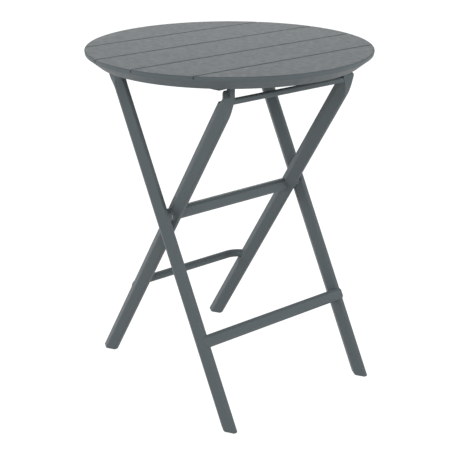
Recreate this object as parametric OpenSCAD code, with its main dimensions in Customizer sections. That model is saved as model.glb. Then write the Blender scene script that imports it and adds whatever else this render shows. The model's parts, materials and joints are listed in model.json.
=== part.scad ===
// Folding round bistro table: a five-slat moulded top on two crossing leg frames.
// Units are millimetres. The origin is on the floor under the middle of the top, +Z is up.
// The frames fold about a line along Y. The outer frame stands with its feet at the front (+X),
// and the inner frame stands with its feet at the back (-X).

/* [Top] */
// Diameter of the round top
top_d = 600; // [560:10:640]
// Height of the top surface above the floor
top_h = 736; // [730:1:745]
// Thickness of the slatted plate
plate_t = 8; // [7:0.5:10]
// Depth of the rim, from the top surface to its lower edge
rim_depth = 28; // [26:1:32]
// How far the rim draws inwards on its way down
rim_inset = 25.6; // [22:0.1:28]
// Distance from one groove to the next
slat_pitch = 120.5; // [110:0.5:125]
// Width of each groove
groove_w = 3.5; // [2:0.5:4]
// Depth of each groove
groove_depth = 4; // [2:0.5:4]

/* [Legs] */
// Distance of each outer leg from the middle of the table
outer_y = 192.2; // [190:0.1:194]
// Distance of each inner leg from the middle of the table
inner_y = 161.1; // [159:0.1:161.5]
// Lean of the outer legs from upright
outer_tilt = 28.07; // [27.5:0.01:28.5]
// Lean of the inner legs from upright
inner_tilt = 32.66; // [32:0.01:33.2]
// Depth of a leg across its flat edges
leg_depth = 36.4; // [35:0.1:38]
// Width of a leg's flat edge, before its corners are rounded
leg_edge = 9; // [8:0.5:10]
// Width of a leg from ridge to ridge, before its corners are rounded
leg_ridge = 30.8; // [29:0.1:31]
// Radius of a leg's corners
leg_corner_r = 4.6; // [3:0.1:5]
// Height of each foot pad
pad_h = 8; // [6:1:10]

/* [Pivot] */
// Position of the pivot in front of the middle of the table
pivot_x = 13.3; // [12:0.1:15]
// Height of the pivot
pivot_z = 406; // [404:1:408]
// Radius of the pivot axle
axle_r = 5; // [4:0.5:6]
// Running clearance around every turning pin
running_gap = 0.05; // [0.03:0.01:0.08]

/* [Rails] */
// Height of the flat front face of a rail
rail_face = 15; // [13:0.5:16]
// Size of a rail's chamfers
rail_chamfer = 5.5; // [4:0.5:6]
// Depth of a rail from front to back
rail_depth = 18; // [16:0.5:20]
// Distance of the front rail below the pivot, along the outer legs
front_rail_s = 273; // [260:1:280]
// Height and depth of the cross rail between the heads
head_rail_size = 11; // [10:0.1:12]
// Radius of the bent rear bar
bar_r = 9.2; // [8:0.1:9.5]

/* [Hinge] */
// Height of the hinge pins under the top
hinge_z = 691; // [686:1:692]
// Radius of the hinge pins
hinge_r = 4; // [3.5:0.5:5]

/* [Hidden] */
$fn = 64;

grey = [0.40, 0.43, 0.44];
dark_grey = [0.30, 0.32, 0.33];
steel = [0.72, 0.73, 0.74];
LEFT = -1;
RIGHT = 1;
gap = 0.3;          // clear space between pieces that move past each other
far = 1200;         // longer than the whole table, for trimming

// top
top_r = top_d / 2;
plate_z = top_h - plate_t;
rim_low_z = top_h - rim_depth;
rim_low_r = top_r - rim_inset;
rim_band = 9;       // height of the almost upright upper band of the rim
rim_draft = 1;      // how far the upper band draws in
rim_step = 1.2;     // how far the lower band is set back from the upper band
rim_wall = 5;       // thickness of the rim at its lower edge
rim_round = 3;      // rounding of the top edge
rib_t = 3;
rib_depth = 6;
rib_pitch = 60;
lane_y0 = 135;      // the two lanes without ribs run from here
lane_y1 = 211.5;    // to here on each side
cavity_r = rim_low_r - rim_wall;

// legs, measured from the pivot
leg_half = leg_depth / 2;
lap = 1;            // how far neighbouring shapes of one piece run into each other
foot_len = far / 2; // the legs are drawn too long and trimmed at the foot pads
spigot_r = 6;
spigot_len = 14;

// inner head: the leaning leg is trimmed to an upright front face and an upright outer facet, its
// top slopes down to the front, and a tongue stands on its inner half
head_front_x = 191;
head_back_x = 177;
head_shelf_z = 674; // shelf behind the head
head_back_y = 166;  // outer edge of the head's back
head_facet_angle = 34; // direction of the outer facet, from the X axis
head_facet_z = 682; // the outer facet is upright above here and flares into the leg below
head_slope_z = 684.6; // front of the head's sloping top
head_slope_x = 180; // back of the head's sloping top
head_slope_top_z = 697.5;
head_lip_x = 181;   // back of the tongue's upper part
tongue_y0 = inner_y - 14.6; // faces of the tongue
tongue_y1 = 158.2;
tongue_low_z = 682; // where the tongue leaves the leg
head_bend_r = 70;   // rounding between the leg's front edge and the upright face
head_bend_p = leg_half - 0.05 - head_bend_r;
head_bend_x = head_front_x - head_bend_r;
head_bend_s = (head_bend_x - pivot_x - head_bend_p * cos(inner_tilt)) / sin(inner_tilt);
head_bend_z = pivot_z + head_bend_s * cos(inner_tilt) - head_bend_p * sin(inner_tilt);
head_rail_x = 185;
head_rail_z = 675;
base_t = 4;         // thickness of the bases of the hinge blocks and catches
base_z = plate_z - base_t;
head_top_z = base_z - gap;

// pivot
boss_r = 14;
outer_boss_y = 177.3;
inner_boss_y = 176;
bush_r = 8;
bush_len = 20;
axle_half = outer_boss_y + bush_len - 1;

// hinge at the top of the outer legs
hinge_s = (hinge_z - pivot_z) / cos(outer_tilt);
hinge_x = pivot_x - hinge_s * sin(outer_tilt);
knuckle_half = 9.5;
knuckle_r = leg_half - 0.3;
tongue_len = 35;    // length of the flat tongue below the pin
tongue_neck = 8;    // how far below the pin the six-sided part of the leg ends
ear_t = 4.5;
ear_r = 7.5;
pin_half = knuckle_half + gap + ear_t;

// rails
front_rail_half = 196;
front_rail_proud = 5.5;
middle_rail_tilt = 9;
bar_bend_r = 42;
bar_x = -158;
bar_z = 190;
bar_straight = 124; // half the length of the straight stretch
bar_bend_angle = 70;
screw_r = 2.4;
screw_head_r = 4.2;
screw_head_h = 3;

// ---------- shared shapes ----------

function unit(v) = v / norm(v);

// the points of one rounded corner b between its neighbours a and c
function corner(a, b, c, r, steps) =
    let (
        u = unit(a - b),
        v = unit(c - b),
        half = acos(u * v) / 2,
        centre = b + unit(u + v) * r / sin(half),
        start = b + u * r / tan(half) - centre,
        stop = b + v * r / tan(half) - centre,
        a0 = atan2(start[1], start[0]),
        turn = atan2(stop[1], stop[0]) - a0,
        sweep = turn > 180 ? turn - 360 : turn < -180 ? turn + 360 : turn
    )
    [for (i = [0:steps]) centre + r * [cos(a0 + sweep * i / steps), sin(a0 + sweep * i / steps)]];

// a convex outline with every corner rounded
function rounded(points, r, steps = 5) =
    let (n = len(points))
    [for (i = [0:n - 1]) each corner(points[(i + n - 1) % n], points[i], points[(i + 1) % n], r, steps)];

// six-sided section of a leg: flat edges at front and back, a ridge on each side
module leg_section() {
    polygon(rounded([
        [leg_half, leg_edge / 2],
        [0, leg_ridge / 2],
        [-leg_half, leg_edge / 2],
        [-leg_half, -leg_edge / 2],
        [0, -leg_ridge / 2],
        [leg_half, -leg_edge / 2]
    ], leg_corner_r));
}

// a rod along Y, centred on y, at a place in the XZ plane
module rod(x, z, y, r, length) {
    translate([x, y, z])
        rotate([90, 0, 0])
            cylinder(r = r, h = length, center = true);
}

// a rod along Y from y0 to y1 on one side of the table
module side_rod(side, x, z, y0, y1, r) {
    rod(x, z, side * (y0 + y1) / 2, r, abs(y1 - y0));
}

// a flat plate standing in the XZ plane, from y0 to y1 on one side of the table
module side_plate(side, y0, y1) {
    translate([0, side * (y0 + y1) / 2, 0])
        rotate([90, 0, 0])
            linear_extrude(height = abs(y1 - y0), center = true)
                children();
}

// children drawn along +Z run along the outer leg, with +X across it to the front
module on_outer_leg(side) {
    translate([pivot_x, side * outer_y, pivot_z])
        rotate([0, -outer_tilt, 0])
            children();
}

module on_inner_leg(side) {
    translate([pivot_x, side * inner_y, pivot_z])
        rotate([0, inner_tilt, 0])
            children();
}

module above(z) {
    translate([-far, -far, z])
        cube([2 * far, 2 * far, far]);
}

// a countersunk screw from the origin along +Z, with its head at the origin
module screw(length) {
    cylinder(r = screw_head_r, h = screw_head_h);
    translate([0, 0, screw_head_h])
        cylinder(r = screw_r, h = length - screw_head_h);
}

// the hole for a screw whose head is sunk below the surface
module screw_hole(length, sunk) {
    translate([0, 0, -5])
        cylinder(r = screw_head_r, h = 5 + sunk + screw_head_h);
    translate([0, 0, sunk + screw_head_h])
        cylinder(r = screw_r, h = length - sunk - screw_head_h);
}

// ---------- top ----------

function rim_top_round(steps = 6) =
    [for (i = [0:steps]) let (w = 90 - 90 * i / steps)
        [top_r - rim_round + rim_round * cos(w), top_h - rim_round + rim_round * sin(w)]];

module top_shell() {
    rotate_extrude($fn = 180)
        polygon(concat(
            [[0, plate_z], [0, top_h]],
            rim_top_round(),
            [[top_r - rim_draft, top_h - rim_band]],
            // crease, then a plain cone down to the lower edge
            [[top_r - rim_draft - rim_step, top_h - rim_band - 0.4], [rim_low_r, rim_low_z]],
            [[cavity_r, rim_low_z], [cavity_r + 1, plate_z]]
        ));
}

// ribs under the plate, left out of the two lanes where the legs and fittings are
module top_ribs() {
    count = floor(cavity_r / rib_pitch);
    translate([0, 0, plate_z - rib_depth])
        linear_extrude(height = rib_depth + 1)
            intersection() {
                circle(r = cavity_r + 0.5, $fn = 180);
                union() {
                    for (i = [-count:count])
                        for (band = [[-far, -lane_y1], [-lane_y0, lane_y0], [lane_y1, far]])
                            translate([i * rib_pitch - rib_t / 2, band[0]])
                                square([rib_t, band[1] - band[0]]);
                    for (y = [0, lane_y0 / 3, 2 * lane_y0 / 3, lane_y0, lane_y1], side = [LEFT, RIGHT])
                        translate([-far, side * y - rib_t / 2])
                            square([2 * far, rib_t]);
                }
            }
}

module hinge_footprint(side, margin) {
    translate([hinge_x - 22 - margin, side > 0 ? hinge_y0 - margin : -hinge_y1 - margin])
        square([52 + 2 * margin, hinge_y1 - hinge_y0 + 2 * margin]);
}

module catch_footprint(side, margin) {
    intersection() {
        translate([catch_x0 - margin, side > 0 ? catch_y0 - margin : -catch_y1 - margin])
            square([catch_x1 - catch_x0 + 2 * margin, catch_y1 - catch_y0 + 2 * margin]);
        circle(r = cavity_r - 1 + margin, $fn = 180);
    }
}

hinge_y0 = outer_y - pin_half;
hinge_y1 = outer_y + pin_half;
catch_x0 = 148;
catch_x1 = 212;
catch_y0 = 139;
catch_y1 = 182.3;
hinge_screw_dx = [-15, 23];
catch_screw_x = [163, 196];
catch_screw_y = 151;
top_screw_len = base_t + 4.5;

module tabletop() color(grey) {
    difference() {
        union() {
            top_shell();
            top_ribs();
        }
        for (i = [-1.5, -0.5, 0.5, 1.5])
            translate([i * slat_pitch - groove_w / 2, -far, top_h - groove_depth])
                cube([groove_w, 2 * far, groove_depth + 1]);
        hinge_screw_places()
            screw(top_screw_len);
        catch_screw_places()
            screw(top_screw_len);
    }
}

module hinge_screw_places() {
    for (side = [LEFT, RIGHT], dx = hinge_screw_dx)
        translate([hinge_x + dx, side * outer_y, base_z])
            children();
}

module catch_screw_places() {
    for (side = [LEFT, RIGHT], x = catch_screw_x)
        translate([x, side * catch_screw_y, base_z])
            children();
}

module hinge_screws() color(steel)
    hinge_screw_places()
        screw(top_screw_len);

module catch_screws() color(steel)
    catch_screw_places()
        screw(top_screw_len);

module ear_shape() {
    translate([hinge_x, hinge_z])
        circle(r = ear_r);
    translate([hinge_x - ear_r, hinge_z])
        square([2 * ear_r, base_z - hinge_z + 1]);
}

module hinge_block(side) color(dark_grey)
    difference() {
        union() {
            translate([0, 0, base_z])
                linear_extrude(height = base_t)
                    hinge_footprint(side, 0);
            side_plate(side, hinge_y0, hinge_y0 + ear_t)
                ear_shape();
            side_plate(side, hinge_y1 - ear_t, hinge_y1)
                ear_shape();
        }
        rod(hinge_x, hinge_z, side * outer_y, hinge_r, 2 * pin_half + 2);
        hinge_screw_places()
            screw(top_screw_len);
    }

module hinge_pin(side) color(steel)
    rod(hinge_x, hinge_z, side * outer_y, hinge_r, 2 * pin_half);

// cheek outside the head, with its lower edge showing a little below the rim
module cheek_shape() {
    polygon([
        [catch_x0, base_z + 1],
        [catch_x0, rim_low_z - 8],
        [187, rim_low_z - 6.3],
        [208, rim_low_z + 1],
        [catch_x1, rim_low_z + 2],
        [catch_x1, base_z + 1]
    ]);
}

module latch_catch(side) color(dark_grey)
    intersection() {
        difference() {
            union() {
                translate([0, 0, base_z])
                    linear_extrude(height = base_t)
                        catch_footprint(side, 0);
                side_plate(side, inner_boss_y + gap, catch_y1)
                    cheek_shape();
                side_plate(side, catch_y0, inner_y - leg_ridge / 2 - gap)
                    translate([catch_x0, rim_low_z + 0.5])
                        square([catch_x1 - catch_x0, base_z - rim_low_z]);
                // front stop that the head leans on
                translate([head_front_x + gap, side > 0 ? catch_y0 : -catch_y1, rim_low_z + 0.5])
                    cube([6, catch_y1 - catch_y0, base_z - rim_low_z]);
            }
            catch_screw_places()
                screw(top_screw_len);
        }
        cylinder(r = cavity_r - 1, h = far, $fn = 180);
    }

// ---------- outer frame ----------

module outer_leg_bar(side, s0, s1)
    on_outer_leg(side)
        translate([0, 0, s0])
            linear_extrude(height = s1 - s0)
                leg_section();

module outer_spigot(side)
    on_outer_leg(side)
        translate([0, 0, -(pivot_z - pad_h) / cos(outer_tilt) - leg_half * tan(outer_tilt)])
            cylinder(r = spigot_r, h = spigot_len + leg_half * tan(outer_tilt));

module outer_leg(side) color(grey)
    difference() {
        union() {
            outer_leg_bar(side, -foot_len, hinge_s - tongue_neck);
            // flat tongue with a round end, between the ears of the hinge block
            on_outer_leg(side)
                translate([0, 0, hinge_s])
                    rotate([90, 0, 0])
                        linear_extrude(height = 2 * knuckle_half, center = true) {
                            circle(r = knuckle_r);
                            translate([-knuckle_r, -tongue_len])
                                square([2 * knuckle_r, tongue_len]);
                        }
            // pivot boss
            side_rod(side, pivot_x, pivot_z, outer_boss_y, outer_y, boss_r);
        }
        mirror([0, 0, 1])
            above(-pad_h);
        rod(hinge_x, hinge_z, side * outer_y, hinge_r + running_gap, 60);
        side_rod(side, pivot_x, pivot_z, outer_boss_y - 5, outer_boss_y + bush_len, bush_r);
        outer_spigot(side);
        front_rail_bar();
        front_rail_screw_places()
            screw_hole(front_rail_screw_len, rail_screw_sunk);
    }

module outer_foot(side) color(dark_grey)
    union() {
        intersection() {
            outer_leg_bar(side, -foot_len, 0);
            linear_extrude(height = pad_h)
                square(far, center = true);
        }
        intersection() {
            outer_spigot(side);
            above(pad_h - 1);
        }
    }

// section of a rail: a flat front face between two chamfers, and a flat back
module rail_section(front, face = rail_face, chamfer = rail_chamfer, depth = rail_depth) {
    half = face / 2 + chamfer;
    polygon([
        [front, -face / 2],
        [front, face / 2],
        [front - chamfer, half],
        [front - depth, half],
        [front - depth, -half],
        [front - chamfer, -half]
    ]);
}

module front_rail_bar()
    translate([pivot_x, 0, pivot_z])
        rotate([0, -outer_tilt, 0])
            translate([0, 0, -front_rail_s])
                rotate([90, 0, 0])
                    linear_extrude(height = 2 * front_rail_half, center = true)
                        rail_section(leg_half + front_rail_proud);

front_rail_screw_len = leg_depth - 4;
rail_screw_sunk = 1.5;

// screws from the back of each outer leg into the ends of the front rail
module front_rail_screw_places()
    for (side = [LEFT, RIGHT])
        on_outer_leg(side)
            translate([-leg_half, 0, -front_rail_s])
                rotate([0, 90, 0])
                    children();

module front_rail() color(grey)
    difference() {
        front_rail_bar();
        front_rail_screw_places()
            screw_hole(front_rail_screw_len, rail_screw_sunk);
    }

module front_rail_screws() color(steel)
    front_rail_screw_places()
        translate([0, 0, rail_screw_sunk])
            screw(front_rail_screw_len - rail_screw_sunk);

module pivot_bush(side) color(dark_grey)
    difference() {
        side_rod(side, pivot_x, pivot_z, outer_boss_y, outer_boss_y + bush_len, bush_r);
        rod(pivot_x, pivot_z, 0, axle_r + running_gap, far);
    }

// ---------- inner frame ----------

module inner_leg_bar(side, s0, s1)
    on_inner_leg(side)
        translate([0, 0, s0])
            linear_extrude(height = s1 - s0)
                leg_section();

// what is trimmed from the leaning leg: in front of the upright face and its rounding, behind the
// back, above the sloping top, and outside the outer facet
module head_trim(side) {
    side_plate(side, inner_y - leg_ridge, inner_y + leg_ridge) {
        translate([head_front_x, head_bend_z - lap])
            square(far);
        translate([head_back_x - far, head_shelf_z])
            square(far);
        polygon([
            [head_front_x, head_slope_z],
            [head_slope_x, head_slope_top_z],
            [head_slope_x - far, head_slope_top_z],
            [head_slope_x - far, far],
            [far, far],
            [far, head_slope_z]
        ]);
    }
    mirror([0, side > 0 ? 0 : 1, 0])
        translate([head_back_x, head_back_y, 0])
            rotate([0, 0, head_facet_angle])
                rotate([90, 0, 90])
                    linear_extrude(height = 2 * leg_depth, center = true)
                        polygon([
                            [0, head_facet_z],
                            [5.5, head_shelf_z],
                            [leg_depth, head_shelf_z],
                            [leg_depth, top_h],
                            [0, top_h]
                        ]);
    difference() {
        on_inner_leg(side)
            translate([0, -leg_ridge, head_bend_s])
                cube([far, 2 * leg_ridge, far]);
        above(head_bend_z);
        rod(head_bend_x, head_bend_z, side * inner_y, head_bend_r, 3 * leg_ridge);
    }
}

// tongue that stands up from the inner half of the head into the catch
module head_tongue(side)
    side_plate(side, tongue_y0, tongue_y1)
        polygon([
            [head_back_x, tongue_low_z],
            [head_front_x, tongue_low_z],
            [head_front_x, head_top_z],
            [head_lip_x, head_top_z],
            [head_lip_x, head_slope_top_z + 4.5],
            [head_slope_x, head_slope_top_z],
            [head_back_x, head_slope_top_z - 4.5]
        ]);

module inner_spigot(side)
    on_inner_leg(side)
        translate([0, 0, -(pivot_z - pad_h) / cos(inner_tilt) - leg_half * tan(inner_tilt)])
            cylinder(r = spigot_r, h = spigot_len + leg_half * tan(inner_tilt));

module inner_leg(side) color(grey)
    difference() {
        union() {
            difference() {
                inner_leg_bar(side, -foot_len, foot_len);
                head_trim(side);
            }
            head_tongue(side);
            side_rod(side, pivot_x, pivot_z, inner_y, inner_boss_y, boss_r);
        }
        mirror([0, 0, 1])
            above(-pad_h);
        rod(pivot_x, pivot_z, 0, axle_r, far);
        inner_spigot(side);
        rear_bar_shape();
        head_rail_bar();
        head_rail_screw_places()
            screw_hole(head_rail_screw_len, head_rail_screw_sunk);
    }

module inner_foot(side) color(dark_grey)
    union() {
        intersection() {
            inner_leg_bar(side, -foot_len, 0);
            linear_extrude(height = pad_h)
                square(far, center = true);
        }
        intersection() {
            inner_spigot(side);
            above(pad_h - 1);
        }
    }

module middle_rail() color(grey)
    difference() {
        translate([pivot_x, 0, pivot_z])
            rotate([0, -middle_rail_tilt, 0])
                rotate([90, 0, 0])
                    linear_extrude(height = 2 * (inner_y - 3), center = true)
                        rail_section(rail_depth / 2);
        for (side = [LEFT, RIGHT])
            inner_leg_bar(side, -60, 60);
        rod(pivot_x, pivot_z, 0, axle_r, far);
    }

module pivot_axle() color(steel)
    rod(pivot_x, pivot_z, 0, axle_r, 2 * axle_half);

module pivot_washer(side) color(steel)
    difference() {
        side_rod(side, pivot_x, pivot_z, inner_boss_y, outer_boss_y - gap, boss_r - 1);
        rod(pivot_x, pivot_z, 0, axle_r, far);
    }

head_rail_half = inner_y + 4;
head_rail_chamfer = 2;
head_rail_face = head_rail_size - 2 * head_rail_chamfer;
head_rail_screw_len = 30;
head_rail_screw_sunk = 4;

module head_rail_bar()
    translate([head_rail_x, 0, head_rail_z])
        rotate([90, 0, 0])
            linear_extrude(height = 2 * head_rail_half, center = true)
                rail_section(head_rail_size / 2, head_rail_face, head_rail_chamfer, head_rail_size);

module head_rail_screw_places()
    for (side = [LEFT, RIGHT])
        translate([head_rail_x, side * inner_y, head_rail_z])
            rotate([0, 71, 0])
                translate([0, 0, -head_rail_screw_len + 2])
                    children();

module head_rail() color(grey)
    difference() {
        head_rail_bar();
        head_rail_screw_places()
            screw_hole(head_rail_screw_len, head_rail_screw_sunk);
    }

module head_rail_screws() color(steel)
    head_rail_screw_places()
        translate([0, 0, head_rail_screw_sunk])
            screw(head_rail_screw_len - head_rail_screw_sunk);

// bar along Y with its two ends bent forwards into the inner legs
module rear_bar_shape() {
    rod(bar_x, bar_z, 0, bar_r, 2 * (bar_straight + lap));
    for (side = [LEFT, RIGHT])
        translate([bar_x + bar_bend_r, side * bar_straight, bar_z])
            mirror([0, side > 0 ? 0 : 1, 0])
                rotate([0, 0, 180 - bar_bend_angle])
                    rotate_extrude(angle = bar_bend_angle, $fn = 96)
                        translate([bar_bend_r, 0])
                            circle(r = bar_r + 0.02, $fn = 48);
}

module rear_bar() color(grey)
    rear_bar_shape();

// ---------- nodes ----------

tabletop();
hinge_block(LEFT);  // hinge_block_left
hinge_block(RIGHT);  // hinge_block_right
hinge_pin(LEFT);  // hinge_pin_left
hinge_pin(RIGHT);  // hinge_pin_right
hinge_screws();
latch_catch(LEFT);  // latch_catch_left
latch_catch(RIGHT);  // latch_catch_right
catch_screws();
outer_leg(LEFT);  // outer_leg_left
outer_leg(RIGHT);  // outer_leg_right
front_rail();
front_rail_screws();
pivot_bush(LEFT);  // pivot_bush_left
pivot_bush(RIGHT);  // pivot_bush_right
outer_foot(LEFT);  // outer_foot_left
outer_foot(RIGHT);  // outer_foot_right
inner_leg(LEFT);  // inner_leg_left
inner_leg(RIGHT);  // inner_leg_right
middle_rail();
pivot_axle();
pivot_washer(LEFT);  // pivot_washer_left
pivot_washer(RIGHT);  // pivot_washer_right
head_rail();
head_rail_screws();
rear_bar();
inner_foot(LEFT);  // inner_foot_left
inner_foot(RIGHT);  // inner_foot_right
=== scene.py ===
"""The looks of a folding round bistro table: five-slat moulded top, two crossing leg frames."""
import json
import math

import bmesh
import bpy
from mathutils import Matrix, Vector


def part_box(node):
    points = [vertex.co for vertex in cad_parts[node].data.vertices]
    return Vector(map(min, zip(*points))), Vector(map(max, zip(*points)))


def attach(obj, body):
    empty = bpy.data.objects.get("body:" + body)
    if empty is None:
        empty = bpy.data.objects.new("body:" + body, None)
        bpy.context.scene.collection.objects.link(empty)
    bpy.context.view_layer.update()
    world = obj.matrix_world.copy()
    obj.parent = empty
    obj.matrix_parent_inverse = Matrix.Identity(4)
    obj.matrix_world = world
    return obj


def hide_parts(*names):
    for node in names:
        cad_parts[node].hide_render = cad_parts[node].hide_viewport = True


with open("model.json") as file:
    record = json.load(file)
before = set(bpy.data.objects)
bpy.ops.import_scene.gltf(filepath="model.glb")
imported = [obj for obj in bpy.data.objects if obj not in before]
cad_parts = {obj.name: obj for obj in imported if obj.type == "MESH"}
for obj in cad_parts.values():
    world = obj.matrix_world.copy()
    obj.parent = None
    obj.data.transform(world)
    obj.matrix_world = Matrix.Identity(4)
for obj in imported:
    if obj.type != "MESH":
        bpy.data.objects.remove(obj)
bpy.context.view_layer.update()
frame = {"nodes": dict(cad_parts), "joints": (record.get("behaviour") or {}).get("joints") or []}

# ---------- sizes, in metres ----------

MM = 0.001
SIDES = {"left": -1, "right": 1}
JOINTS = {joint["name"]: joint for joint in frame["joints"]}
PIVOT = Vector(JOINTS["frame_fold"]["pos_m"])
HINGE = Vector(JOINTS["top_tilt"]["pos_m"])

# top
TOP_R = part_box("tabletop")[1].x
TOP_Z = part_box("tabletop")[1].z
RIM_LOW_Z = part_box("tabletop")[0].z
RIM_LOW_R = TOP_R - 25.6 * MM
RIM_BAND = 9 * MM
RIM_DRAFT = 1 * MM
RIM_STEP = 1.2 * MM
RIM_ROUND = 3 * MM
CAVITY_R = RIM_LOW_R - 5 * MM
TOP_STEPS = 288
RIM_EDGE = 1.2 * MM
RIM_LIP = 0.8 * MM
PLATE_Z = TOP_Z - 8 * MM
RIB_Z = PLATE_Z - 6 * MM
RIB_T = 3 * MM
RIB_PITCH = 60 * MM
LANE_Y0 = 135 * MM
LANE_Y1 = 211.5 * MM
SLAT_PITCH = 120.5 * MM
GROOVE_HALF = 1.8 * MM
GROOVE_DEPTH = 5.5 * MM
GROOVE_ROUND = 1 * MM

# legs
LEG_HALF = 18.2 * MM
LEG_FLAT = 4.5 * MM
LEG_RIDGE = 15.4 * MM
LEG_POINTS = [
    (LEG_HALF, -LEG_FLAT), (LEG_HALF, LEG_FLAT), (0, LEG_RIDGE),
    (-LEG_HALF, LEG_FLAT), (-LEG_HALF, -LEG_FLAT), (0, -LEG_RIDGE),
]
LEG_ROUND = 4.6 * MM
FOOT_ROUND = 2.4 * MM
PAD_Z = 8 * MM
OUTER_Y = 192.2 * MM
INNER_Y = 161.1 * MM
OUTER_TILT = math.atan((PIVOT.x - HINGE.x) / (HINGE.z - PIVOT.z))
INNER_TILT = math.radians(32.66)
HEAD_TOP_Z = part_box("inner_leg_left")[1].z
BOSS_R = 14 * MM
OUTER_BOSS_Y = 177.3 * MM
INNER_BOSS_Y = 176 * MM

# flat tongue with a round end at the top of an outer leg
KNUCKLE_HALF = 9.5 * MM
KNUCKLE_R = LEG_HALF - 0.3 * MM
TONGUE_LEN = 38 * MM
TONGUE_NECK = 8 * MM
TONGUE_WIDEN = 1.5

# heads of the inner legs
HEAD_FRONT_X = 191 * MM
HEAD_BACK_X = 177 * MM
HEAD_SHELF_Z = 674 * MM
HEAD_BACK_Y = 166 * MM
HEAD_FACET_ANGLE = math.radians(34)
HEAD_FACET_Z = 682 * MM
HEAD_FACET_FLARE = 5.5 * MM
HEAD_SLOPE_Z = 684.6 * MM
HEAD_SLOPE_X = 180 * MM
HEAD_SLOPE_TOP_Z = 697.5 * MM
HEAD_LIP_X = 181 * MM
HEAD_BEND_R = 70 * MM
HEAD_BEND_P = LEG_HALF - 0.05 * MM - HEAD_BEND_R
TONGUE_Y0 = INNER_Y - 14.6 * MM
TONGUE_Y1 = 158.2 * MM
TONGUE_LOW_Z = 682 * MM
TONGUE_STEP = 4.5 * MM
HEAD_RAIL_X = 185 * MM
HEAD_RAIL_CHAMFER = 2 * MM
HEAD_RAIL_ROUND = 1 * MM
HEAD_SCREW_LEAN = math.radians(71)
HEAD_SCREW_REACH = 24 * MM
SCREW_HEAD_R = 4.2 * MM
SCREW_SUNK = 1.5 * MM

# rails and bars
RAIL_FACE = 15 * MM
RAIL_CHAMFER = 5.5 * MM
RAIL_DEPTH = 18 * MM
RAIL_ROUND = 1.6 * MM
FRONT_RAIL_S = -273 * MM
FRONT_RAIL_P = LEG_HALF + 5.5 * MM
FRONT_RAIL_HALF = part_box("front_rail")[1].y
MIDDLE_RAIL_TILT = math.radians(9)
MIDDLE_RAIL_HALF = INNER_Y - 3 * MM
BAR_R = 9.2 * MM
BAR_BEND_R = 42 * MM
BAR_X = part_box("rear_bar")[0].x + BAR_R
BAR_Z = (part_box("rear_bar")[0].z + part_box("rear_bar")[1].z) / 2
BAR_STRAIGHT = 124 * MM
BAR_BEND_ANGLE = math.radians(70)

# ---------- mesh tools ----------


def shrink(points, distance):
    """A convex outline, anticlockwise, with every edge moved inwards."""
    corners = []
    for i, point in enumerate(points):
        before, here, after = Vector(points[i - 1]), Vector(point), Vector(points[(i + 1) % len(points)])
        first = (here - before).normalized()
        second = (after - here).normalized()
        normal_1 = Vector((-first.y, first.x))
        normal_2 = Vector((-second.y, second.x))
        mitre = (normal_1 + normal_2).normalized()
        corners.append(here + mitre * distance / mitre.dot(normal_1))
    return corners


def outline(points, radius, inset=0.0, steps=6):
    """A convex outline with rounded corners, drawn inside itself by inset, which is less than radius."""
    core = shrink(points, radius)
    ring = []
    for i, here in enumerate(core):
        first = here - core[i - 1]
        second = core[(i + 1) % len(core)] - here
        start = math.atan2(-first.x, first.y)
        turn = (math.atan2(-second.x, second.y) - start) % math.tau
        for k in range(steps + 1):
            angle = start + turn * k / steps
            ring.append(here + Vector((math.cos(angle), math.sin(angle))) * (radius - inset))
    return ring


def circle(radius, steps):
    angles = [math.tau * i / steps for i in range(steps)]
    return [Vector((math.cos(angle), math.sin(angle))) * radius for angle in angles]


def mesh_object(name, build):
    """A new object whose mesh build(bm) fills, with its faces turned outwards."""
    bm = bmesh.new()
    build(bm)
    bmesh.ops.recalc_face_normals(bm, faces=bm.faces)
    mesh = bpy.data.meshes.new(name)
    bm.to_mesh(mesh)
    bm.free()
    obj = bpy.data.objects.new(name, mesh)
    bpy.context.scene.collection.objects.link(obj)
    return obj


def loft(bm, rings):
    """A closed solid through rings of points that match one to one."""
    rows = [[bm.verts.new(point) for point in ring] for ring in rings]
    count = len(rows[0])
    for low, high in zip(rows, rows[1:]):
        for i in range(count):
            j = (i + 1) % count
            bm.faces.new((low[i], low[j], high[j], high[i]))
    bm.faces.new(rows[0])
    bm.faces.new(rows[-1])


def plate(bm, side, y0, y1, shape):
    """A flat plate on one side of the table, whose outline lies in the XZ plane."""
    loft(bm, [[(x, side * y, z) for x, z in shape] for y in (y0, y1)])


def bore(bm, start, direction, radius, depth):
    """Cutter for a round hole in the XZ direction given, from well outside the surface."""
    along = direction.normalized()
    across = along.cross(Vector((0, 1, 0)))
    rings = []
    for s in (-3 * radius, depth):
        rings.append([start + along * s + across * p.x + Vector((0, p.y, 0)) for p in circle(radius, 40)])
    loft(bm, rings)


def combine(target, tool, operation):
    """Joins tool to target, or cuts it out, and removes tool."""
    modifier = target.modifiers.new("combine", "BOOLEAN")
    modifier.operation = operation
    modifier.solver = "EXACT"
    modifier.object = tool
    result = bpy.data.meshes.new_from_object(target.evaluated_get(bpy.context.evaluated_depsgraph_get()))
    target.modifiers.clear()
    target.data = result
    bpy.data.objects.remove(tool)


def soften(obj, sharp_degrees=32):
    """Smooth shading that keeps flat faces flat and real edges sharp."""
    mesh = obj.data
    mesh.polygons.foreach_set("use_smooth", [True] * len(mesh.polygons))
    mesh.set_sharp_from_angle(angle=math.radians(sharp_degrees))
    normals = obj.modifiers.new("normals", "WEIGHTED_NORMAL")
    normals.keep_sharp = True


def finish_piece(obj, body, node, material):
    soften(obj)
    obj.data.materials.clear()
    obj.data.materials.append(material)
    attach(obj, body)
    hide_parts(node)


# ---------- materials ----------


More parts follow.
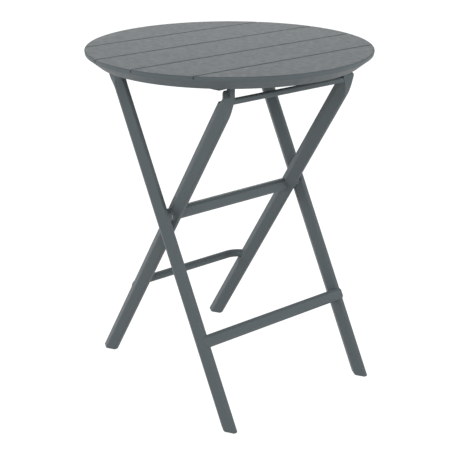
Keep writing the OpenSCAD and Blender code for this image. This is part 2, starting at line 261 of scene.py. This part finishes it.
def moulded_resin(name, base, roughness=0.5, mottle=0.004, speckle=0.01, grain=0.1):
    """Fibre-filled moulded resin: faint mottling, a fine grain and a soft sheen."""
    material = bpy.data.materials.new(name)
    material.use_nodes = True
    nodes, links = material.node_tree.nodes, material.node_tree.links
    shader = nodes["Principled BSDF"]
    shader.inputs["Specular IOR Level"].default_value = 0.17
    place = nodes.new("ShaderNodeTexCoord")

    def noise(scale, detail, distortion=0.0):
        node = nodes.new("ShaderNodeTexNoise")
        node.inputs["Scale"].default_value = scale
        node.inputs["Detail"].default_value = detail
        node.inputs["Distortion"].default_value = distortion
        links.new(place.outputs["Object"], node.inputs["Vector"])
        return node.outputs["Fac"]

    def spread(value, low, high):
        node = nodes.new("ShaderNodeMapRange")
        node.inputs["From Min"].default_value = 0.3
        node.inputs["From Max"].default_value = 0.7
        node.inputs["To Min"].default_value = low
        node.inputs["To Max"].default_value = high
        links.new(value, node.inputs["Value"])
        return node.outputs["Result"]

    flow = noise(7, 3, 0.6)
    fleck = noise(420, 2)
    tone = nodes.new("ShaderNodeMath")
    tone.operation = "MULTIPLY"
    links.new(spread(flow, 1 - mottle, 1 + mottle), tone.inputs[0])
    links.new(spread(fleck, 1 - speckle, 1 + speckle), tone.inputs[1])
    colour = nodes.new("ShaderNodeVectorMath")
    colour.operation = "SCALE"
    colour.inputs[0].default_value = base
    links.new(tone.outputs["Value"], colour.inputs["Scale"])
    links.new(colour.outputs["Vector"], shader.inputs["Base Color"])
    links.new(spread(noise(90, 3), roughness - 0.05, roughness + 0.05), shader.inputs["Roughness"])

    pits = nodes.new("ShaderNodeMath")
    pits.operation = "ADD"
    links.new(noise(1500, 2), pits.inputs[0])
    links.new(noise(520, 1), pits.inputs[1])
    bump = nodes.new("ShaderNodeBump")
    bump.inputs["Strength"].default_value = grain
    bump.inputs["Distance"].default_value = 0.06 * MM
    links.new(pits.outputs["Value"], bump.inputs["Height"])
    links.new(bump.outputs["Normal"], shader.inputs["Normal"])
    return material


def plated_steel(name):
    """Zinc-plated steel with fine turning marks."""
    material = bpy.data.materials.new(name)
    material.use_nodes = True
    nodes, links = material.node_tree.nodes, material.node_tree.links
    shader = nodes["Principled BSDF"]
    shader.inputs["Metallic"].default_value = 1.0
    place = nodes.new("ShaderNodeTexCoord")
    marks = nodes.new("ShaderNodeTexNoise")
    marks.inputs["Scale"].default_value = 900
    marks.inputs["Detail"].default_value = 3
    links.new(place.outputs["Object"], marks.inputs["Vector"])
    tint = nodes.new("ShaderNodeValToRGB")
    tint.color_ramp.elements[0].position = 0.35
    tint.color_ramp.elements[0].color = (0.42, 0.42, 0.40, 1)
    tint.color_ramp.elements[1].position = 0.65
    tint.color_ramp.elements[1].color = (0.58, 0.58, 0.57, 1)
    links.new(marks.outputs["Fac"], tint.inputs["Fac"])
    links.new(tint.outputs["Color"], shader.inputs["Base Color"])
    rough = nodes.new("ShaderNodeMapRange")
    rough.inputs["To Min"].default_value = 0.28
    rough.inputs["To Max"].default_value = 0.46
    links.new(marks.outputs["Fac"], rough.inputs["Value"])
    links.new(rough.outputs["Result"], shader.inputs["Roughness"])
    return material


RESIN = moulded_resin("resin", (0.0558, 0.0665, 0.0708))
FITTING = moulded_resin("fitting", (0.0534, 0.0635, 0.0673), roughness=0.6)
STEEL = plated_steel("steel")

# ---------- top ----------


def rim_profile():
    """Radius and height of the rim, from the top edge round to the cavity's edge under the plate."""
    points = []
    for k in range(9):
        angle = math.radians(90 - 90 * k / 8)
        out, up = RIM_ROUND * math.cos(angle), RIM_ROUND * math.sin(angle)
        points.append((TOP_R - RIM_ROUND + out, TOP_Z - RIM_ROUND + up))
    crease_z = TOP_Z - RIM_BAND
    band_r = TOP_R - RIM_DRAFT
    points.append((band_r + 0.1 * MM, crease_z + 0.6 * MM))
    points.append((band_r - 0.3 * MM, crease_z + 0.1 * MM))
    points.append((band_r - RIM_STEP, crease_z - 0.1 * MM))
    points.append((band_r - RIM_STEP - 0.1 * MM, crease_z - 0.4 * MM))
    slope = Vector((band_r - RIM_STEP - RIM_LOW_R, crease_z - RIM_LOW_Z)).normalized()
    for k in range(5):
        t = k / 4
        corner = Vector((RIM_LOW_R, RIM_LOW_Z))
        points.append(tuple(corner + slope * RIM_EDGE * (1 - t) ** 2 - Vector((RIM_EDGE, 0)) * t ** 2))
    points.append((CAVITY_R + RIM_LIP, RIM_LOW_Z))
    points.append((CAVITY_R + 0.3 * RIM_LIP, RIM_LOW_Z + 0.3 * RIM_LIP))
    points.append((CAVITY_R, RIM_LOW_Z + RIM_LIP))
    points.append((CAVITY_R + 0.6 * MM, RIB_Z))
    return points


def top_body(bm):
    loft(bm, [[(p.x, p.y, z) for p in circle(radius, TOP_STEPS)] for radius, z in rim_profile()])


def pocket(bm, x0, x1, y0, y1):
    """One hollow between ribs, with drafted walls and a rounded bottom edge."""
    corners = [(x0, y0), (x1, y0), (x1, y1), (x0, y1)]
    levels = [
        (RIB_Z - 2 * MM, 0),
        (PLATE_Z - 1.2 * MM, 0.3 * MM),
        (PLATE_Z - 0.4 * MM, 0.6 * MM),
        (PLATE_Z, 1.4 * MM),
    ]
    loft(bm, [[(p.x, p.y, z) for p in outline(corners, 2.5 * MM, inset, steps=4)] for z, inset in levels])


def pockets(bm):
    half = RIB_T / 2
    reach = TOP_R
    columns = math.ceil(CAVITY_R / RIB_PITCH)
    inner = LANE_Y0 / 3
    for side in SIDES.values():
        lane = sorted((side * (LANE_Y0 + half), side * (LANE_Y1 - half)))
        pocket(bm, -reach, reach, *lane)
        bands = [(k * inner + half, (k + 1) * inner - half) for k in range(3)] + [(LANE_Y1 + half, reach)]
        for low, high in bands:
            band = sorted((side * low, side * high))
            for i in range(-columns, columns):
                pocket(bm, i * RIB_PITCH + half, (i + 1) * RIB_PITCH - half, *band)


def groove(bm, x):
    """Cutter for one groove along Y, flared so that the slats' edges come out rounded."""
    side = [(GROOVE_HALF - 0.5 * MM, -GROOVE_DEPTH), (GROOVE_HALF, -GROOVE_DEPTH + 0.5 * MM)]
    for k in range(6):
        angle = math.radians(180 - 90 * k / 5)
        side.append((
            GROOVE_HALF + GROOVE_ROUND + GROOVE_ROUND * math.cos(angle),
            -GROOVE_ROUND + GROOVE_ROUND * math.sin(angle),
        ))
    side.append((GROOVE_HALF + GROOVE_ROUND, 3 * MM))
    section = side + [(-dx, dz) for dx, dz in reversed(side)]
    loft(bm, [[(x + dx, y, TOP_Z + dz) for dx, dz in section] for y in (-1.1 * TOP_R, 1.1 * TOP_R)])


def grooves(bm):
    for place in (-1.5, -0.5, 0.5, 1.5):
        groove(bm, place * SLAT_PITCH)


def make_top():
    top = mesh_object("moulded_top", top_body)
    hollows = mesh_object("hollows", pockets)
    limit = mesh_object("limit", lambda bm: loft(
        bm, [[(p.x, p.y, z) for p in circle(CAVITY_R, TOP_STEPS)] for z in (RIB_Z - 1 * MM, TOP_Z)]))
    combine(hollows, limit, "INTERSECT")
    combine(top, hollows, "DIFFERENCE")
    combine(top, mesh_object("grooves", grooves), "DIFFERENCE")
    finish_piece(top, "table_top", "tabletop", RESIN)


# ---------- legs ----------


class Line:
    """The line of a leg: along runs up it, across is square to it towards +X."""

    def __init__(self, tilt, y, origin=PIVOT):
        self.along = Vector((math.sin(tilt), 0, math.cos(tilt)))
        self.across = Vector((math.cos(tilt), 0, -math.sin(tilt)))
        self.origin = Vector((origin.x, y, origin.z))

    def point(self, s, p=0.0, q=0.0):
        return self.origin + self.along * s + self.across * p + Vector((0, q, 0))

    def ring(self, s, section):
        return [self.point(s, p.x, p.y) for p in section]

    def level_ring(self, z, section):
        """The section slid along the line until every point is at height z."""
        flat = self.ring(0, section)
        return [point + self.along * ((z - point.z) / self.along.z) for point in flat]


def leg_section(inset=0.0):
    return outline(LEG_POINTS, LEG_ROUND, inset)


def foot(bm, line):
    rings = []
    for k in range(7):
        angle = math.radians(90 * k / 6)
        inset = FOOT_ROUND * (1 - math.sin(angle))
        rings.append(line.level_ring(FOOT_ROUND * (1 - math.cos(angle)), leg_section(inset)))
    rings.append(line.level_ring(PAD_Z, leg_section()))
    loft(bm, rings)


def tongue_section(widen, half_p, half_q):
    """The leg's section with its edges widened and its sides pressed flat."""
    return [
        Vector((max(-half_p, min(half_p, p.x)), max(-half_q, min(half_q, widen * p.y))))
        for p in leg_section()
    ]


def outer_leg_body(bm, line):
    """Straight leg that flattens into a tongue, with a round end around the hinge pin."""
    hinge_s = (HINGE - PIVOT).length
    widest = max(p.y for p in leg_section())
    start, length = hinge_s - TONGUE_LEN, TONGUE_LEN - TONGUE_NECK
    rings = [line.level_ring(PAD_Z, leg_section()), line.ring(start, leg_section())]
    steps = 14
    for k in range(1, steps + 1):
        ease = (1 - math.cos(math.pi * k / steps)) / 2
        half_p = LEG_HALF + (KNUCKLE_R - LEG_HALF) * ease
        half_q = widest + (KNUCKLE_HALF - widest) * ease
        section = tongue_section(1 + (TONGUE_WIDEN - 1) * ease, half_p, half_q)
        rings.append(line.ring(start + length * k / steps, section))
    flat = tongue_section(TONGUE_WIDEN, KNUCKLE_R, KNUCKLE_HALF)
    for k in range(15):
        angle = math.radians(6 * k)
        section = [Vector((p.x * math.cos(angle), p.y)) for p in flat]
        rings.append(line.ring(hinge_s + KNUCKLE_R * math.sin(angle), section))
    loft(bm, rings)


def boss(bm, line, side, face_y):
    """Round boss around the axle, from the middle of the leg to its facing end."""
    edge = 0.8 * MM
    start, end = line.origin.y, side * face_y
    rings = []
    for y, inset in ((start, 0), (end - math.copysign(edge, end - start), 0), (end, edge)):
        rings.append([(PIVOT.x + p.x, y, PIVOT.z + p.y) for p in circle(BOSS_R - inset, 96)])
    loft(bm, rings)


def make_outer_leg(name, side):
    line = Line(-OUTER_TILT, side * OUTER_Y)
    leg = mesh_object("moulded_outer_leg_" + name, lambda bm: outer_leg_body(bm, line))
    combine(leg, mesh_object("boss", lambda bm: boss(bm, line, side, OUTER_BOSS_Y)), "UNION")
    combine(leg, mesh_object("rail", front_rail_body), "DIFFERENCE")
    place = line.point(FRONT_RAIL_S, -LEG_HALF)
    hole = mesh_object("hole", lambda bm: bore(bm, place, line.across, SCREW_HEAD_R, SCREW_SUNK))
    combine(leg, hole, "DIFFERENCE")
    finish_piece(leg, "outer_frame", "outer_leg_" + name, RESIN)
    pad = mesh_object("moulded_outer_foot_" + name, lambda bm: foot(bm, line))
    finish_piece(pad, "outer_frame", "outer_foot_" + name, RESIN)


def inner_leg_body(bm, line):
    """Straight leg up into the top, which the cutters below trim to the head."""
    loft(bm, [line.level_ring(PAD_Z, leg_section()), line.level_ring(HEAD_TOP_Z, leg_section())])


def head_front(bm, side):
    """Cutter in front of the head's upright face and of the rounding below it."""
    line = Line(INNER_TILT, 0)
    s = (HEAD_FRONT_X - HEAD_BEND_R - PIVOT.x - HEAD_BEND_P * line.across.x) / line.along.x
    centre = line.point(s, HEAD_BEND_P)
    shape = []
    for k in range(31):
        angle = -INNER_TILT * (1 - k / 30)
        shape.append(centre + Vector((math.cos(angle), 0, math.sin(angle))) * HEAD_BEND_R)
    clear = 3 * LEG_HALF
    shape += [Vector((HEAD_FRONT_X, 0, TOP_Z)), Vector((HEAD_FRONT_X + clear, 0, TOP_Z))]
    shape.append(shape[0] + line.across * clear)
    plate(bm, side, INNER_Y - LEG_HALF, INNER_Y + LEG_HALF, [(point.x, point.z) for point in shape])


def head_back(bm, side):
    """Cutter behind the head, above its shelf."""
    far_back = HEAD_BACK_X - 3 * LEG_HALF
    shape = [(far_back, HEAD_SHELF_Z), (HEAD_BACK_X, HEAD_SHELF_Z), (HEAD_BACK_X, TOP_Z), (far_back, TOP_Z)]
    plate(bm, side, INNER_Y - LEG_HALF, INNER_Y + LEG_HALF, shape)


def head_slope(bm, side):
    """Cutter above the head's top, which slopes down to the front."""
    back, front = HEAD_SLOPE_X - 3 * LEG_HALF, HEAD_FRONT_X + 3 * LEG_HALF
    shape = [
        (back, HEAD_SLOPE_TOP_Z), (HEAD_SLOPE_X, HEAD_SLOPE_TOP_Z), (HEAD_FRONT_X, HEAD_SLOPE_Z),
        (front, HEAD_SLOPE_Z), (front, TOP_Z), (back, TOP_Z),
    ]
    plate(bm, side, INNER_Y - LEG_HALF, INNER_Y + LEG_HALF, shape)


def head_facet(bm, side):
    """Cutter outside the head's upright outer facet, which flares out at its foot to meet the leg."""
    cos, sin = math.cos(HEAD_FACET_ANGLE), math.sin(HEAD_FACET_ANGLE)
    far_out = 2 * LEG_HALF
    profile = [
        (0, HEAD_FACET_Z), (HEAD_FACET_FLARE, HEAD_SHELF_Z), (far_out, HEAD_SHELF_Z),
        (far_out, TOP_Z), (0, TOP_Z),
    ]
    rings = []
    for w in (-2 * LEG_HALF, 2 * LEG_HALF):
        rings.append([
            (HEAD_BACK_X + w * cos - u * sin, side * (HEAD_BACK_Y + w * sin + u * cos), z)
            for u, z in profile
        ])
    loft(bm, rings)


def tongue(bm, side):
    """Tongue that stands up from the inner half of the head into the catch."""
    shape = [
        (HEAD_BACK_X, TONGUE_LOW_Z), (HEAD_FRONT_X, TONGUE_LOW_Z), (HEAD_FRONT_X, HEAD_TOP_Z),
        (HEAD_LIP_X, HEAD_TOP_Z), (HEAD_LIP_X, HEAD_SLOPE_TOP_Z + TONGUE_STEP),
        (HEAD_SLOPE_X, HEAD_SLOPE_TOP_Z), (HEAD_BACK_X, HEAD_SLOPE_TOP_Z - TONGUE_STEP),
    ]
    plate(bm, side, TONGUE_Y0, TONGUE_Y1, shape)


def head_screw_hole(bm, side):
    """Hole for the head rail's screw, from the back edge of the leg."""
    low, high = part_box("head_rail")
    along = Vector((math.sin(HEAD_SCREW_LEAN), 0, math.cos(HEAD_SCREW_LEAN)))
    middle = Vector((HEAD_RAIL_X, side * INNER_Y, (low.z + high.z) / 2))
    bore(bm, middle - along * HEAD_SCREW_REACH, along, SCREW_HEAD_R, 0)


def make_inner_leg(name, side):
    line = Line(INNER_TILT, side * INNER_Y)
    leg = mesh_object("moulded_inner_leg_" + name, lambda bm: inner_leg_body(bm, line))
    combine(leg, mesh_object("front", lambda bm: head_front(bm, side)), "DIFFERENCE")
    combine(leg, mesh_object("back", lambda bm: head_back(bm, side)), "DIFFERENCE")
    combine(leg, mesh_object("slope", lambda bm: head_slope(bm, side)), "DIFFERENCE")
    combine(leg, mesh_object("facet", lambda bm: head_facet(bm, side)), "DIFFERENCE")
    combine(leg, mesh_object("tongue", lambda bm: tongue(bm, side)), "UNION")
    combine(leg, mesh_object("boss", lambda bm: boss(bm, line, side, INNER_BOSS_Y)), "UNION")
    combine(leg, mesh_object("bar", rear_bar_body), "DIFFERENCE")
    combine(leg, mesh_object("hole", lambda bm: head_screw_hole(bm, side)), "DIFFERENCE")
    finish_piece(leg, "inner_frame", "inner_leg_" + name, RESIN)
    pad = mesh_object("moulded_inner_foot_" + name, lambda bm: foot(bm, line))
    finish_piece(pad, "inner_frame", "inner_foot_" + name, RESIN)


# ---------- rails and bars ----------


def rail_points(front, face, chamfer, depth):
    """Section of a rail: flat front face, two chamfers, flat back."""
    half = face / 2 + chamfer
    return [
        (front, -face / 2), (front, face / 2), (front - chamfer, half),
        (front - depth, half), (front - depth, -half), (front - chamfer, -half),
    ]


def rail_body(bm, line, s, section, radius, half_length):
    """A rail along Y, with its ends rounded over."""
    edge = 0.85 * radius
    rings = []
    for y, inset in ((-half_length, edge), (-half_length + 0.3 * edge, 0.3 * edge), (-half_length + edge, 0),
                     (half_length - edge, 0), (half_length - 0.3 * edge, 0.3 * edge), (half_length, edge)):
        rings.append([line.point(s + p.y, p.x, y) for p in outline(section, radius, inset, steps=4)])
    loft(bm, rings)


def front_rail_body(bm):
    section = rail_points(FRONT_RAIL_P, RAIL_FACE, RAIL_CHAMFER, RAIL_DEPTH)
    rail_body(bm, Line(-OUTER_TILT, 0), FRONT_RAIL_S, section, RAIL_ROUND, FRONT_RAIL_HALF)


def middle_rail_body(bm):
    section = rail_points(RAIL_DEPTH / 2, RAIL_FACE, RAIL_CHAMFER, RAIL_DEPTH)
    rail_body(bm, Line(-MIDDLE_RAIL_TILT, 0), 0, section, RAIL_ROUND, MIDDLE_RAIL_HALF)


def head_rail_body(bm):
    low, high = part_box("head_rail")
    size = high.z - low.z
    section = rail_points(size / 2, size - 2 * HEAD_RAIL_CHAMFER, HEAD_RAIL_CHAMFER, size)
    rail_body(bm, Line(0, 0, origin=(low + high) / 2), 0, section, HEAD_RAIL_ROUND, high.y)


def make_rails():
    front = mesh_object("moulded_front_rail", front_rail_body)
    finish_piece(front, "outer_frame", "front_rail", RESIN)
    middle = mesh_object("moulded_middle_rail", middle_rail_body)
    finish_piece(middle, "inner_frame", "middle_rail", RESIN)
    head = mesh_object("moulded_head_rail", head_rail_body)
    finish_piece(head, "inner_frame", "head_rail", RESIN)


def rear_bar_body(bm):
    """Round bar along Y whose two ends bend forwards into the legs."""
    places = []
    for k in range(17):
        angle = BAR_BEND_ANGLE * (1 - k / 16)
        along = Vector((-math.sin(angle), math.cos(angle), 0))
        centre = Vector((BAR_X + BAR_BEND_R, -BAR_STRAIGHT, BAR_Z))
        places.append((centre + Vector((-math.cos(angle), -math.sin(angle), 0)) * BAR_BEND_R, along))
    mirrored = [
        (Vector((at.x, -at.y, at.z)), Vector((-along.x, along.y, 0))) for at, along in reversed(places)
    ]
    rings = []
    for at, along in places + mirrored:
        across = along.cross(Vector((0, 0, 1)))
        rings.append([at + across * p.x + Vector((0, 0, p.y)) for p in circle(BAR_R, 48)])
    loft(bm, rings)


def make_bar():
    bar = mesh_object("moulded_rear_bar", rear_bar_body)
    finish_piece(bar, "inner_frame", "rear_bar", RESIN)


# ---------- CAD pieces that show as they are ----------


def dress_fittings():
    """Hinge blocks, catches, bushes and fasteners keep their CAD shape and get softened edges."""
    for name, obj in frame["nodes"].items():
        if "screws" in name or "pin" in name or "washer" in name or "axle" in name:
            material = STEEL
        elif "hinge_block" in name or "latch_catch" in name or "bush" in name:
            material = FITTING
        else:
            material = RESIN
        obj.data.materials.clear()
        obj.data.materials.append(material)
        bevel = obj.modifiers.new("edges", "BEVEL")
        bevel.width = 0.5 * MM
        bevel.segments = 2
        bevel.limit_method = "ANGLE"
        bevel.angle_limit = math.radians(50)


# ---------- stage ----------


def make_stage():
    """White floor that glows a little, as a floor does that is lit all over."""
    floor_material = bpy.data.materials.new("floor")
    floor_material.use_nodes = True
    shader = floor_material.node_tree.nodes["Principled BSDF"]
    shader.inputs["Base Color"].default_value = (0.06, 0.06, 0.06, 1)
    shader.inputs["Roughness"].default_value = 1.0
    shader.inputs["Specular IOR Level"].default_value = 0.0
    shader.inputs["Emission Color"].default_value = (1, 1, 1, 1)
    shader.inputs["Emission Strength"].default_value = FLOOR_GLOW
    floor = mesh_object("floor", lambda bm: bmesh.ops.create_grid(
        bm, x_segments=1, y_segments=1, size=FLOOR_SIZE))
    floor.location.z = -FLOOR_GAP
    floor.data.materials.append(floor_material)


def area_light(name, azimuth, height, power):
    """A round softbox aimed at the table. Azimuth 0 is on the +X side, 90 on the +Y side."""
    light = bpy.data.lights.new(name, "AREA")
    light.shape = "DISK"
    light.size = LIGHT_SIZE
    light.energy = power
    angle = math.radians(azimuth)
    place = Vector((math.cos(angle) * LIGHT_REACH, math.sin(angle) * LIGHT_REACH, height))
    obj = bpy.data.objects.new(name, light)
    obj.location = place
    obj.rotation_mode = "QUATERNION"
    obj.rotation_quaternion = (LIGHT_AIM - place).to_track_quat("-Z", "Y")
    obj.visible_camera = False
    obj.visible_glossy = name not in SIDE_LIGHTS
    bpy.context.scene.collection.objects.link(obj)


FLOOR_GLOW = 1.03
FLOOR_SIZE = 30
FLOOR_GAP = 0.2 * MM
WORLD_STRENGTH = 0.5
LIGHT_REACH = 3.2
LIGHT_SIZE = 2.4
LIGHT_AIM = Vector((0, 0, 0.45))
# each light's azimuth in degrees, height in metres and power in watts
LIGHTS = {
    "front": (-40, 1.6, 84),
    "left": (-130, 1.6, 122),
    "right": (50, 1.6, 126),
    "back": (140, 1.6, 20),
    "rear": (180, 3.0, 19),
}
# lights that show in no reflection, because at a low angle the flat top would mirror them as plain white
SIDE_LIGHTS = ("left", "right")
CAMERA_AZIMUTH = math.radians(49.991)
CAMERA_ELEVATION = math.radians(20.374)
CAMERA_LENS = 86.89
CAMERA_PLACE = (1.7610, -1.4767, 1.1807)


def make_light():
    world = bpy.data.worlds.new("studio")
    world.use_nodes = True
    world.node_tree.nodes["Background"].inputs["Color"].default_value = (1, 1, 1, 1)
    world.node_tree.nodes["Background"].inputs["Strength"].default_value = WORLD_STRENGTH
    bpy.context.scene.world = world
    for name, (azimuth, height, power) in LIGHTS.items():
        area_light(name, azimuth, height, power)
    bpy.context.scene.view_settings.view_transform = "Standard"


def make_camera():
    across, up = math.cos(CAMERA_ELEVATION), math.sin(CAMERA_ELEVATION)
    back = Vector((math.sin(CAMERA_AZIMUTH) * across, -math.cos(CAMERA_AZIMUTH) * across, up))
    data = bpy.data.cameras.new("camera")
    data.lens = CAMERA_LENS
    camera = bpy.data.objects.new("camera", data)
    camera.location = CAMERA_PLACE
    camera.rotation_mode = "QUATERNION"
    camera.rotation_quaternion = (-back).to_track_quat("-Z", "Y")
    bpy.context.scene.collection.objects.link(camera)
    bpy.context.scene.camera = camera


dress_fittings()
make_top()
for name, side in SIDES.items():
    make_outer_leg(name, side)
    make_inner_leg(name, side)
make_rails()
make_bar()
make_stage()
make_light()
make_camera()
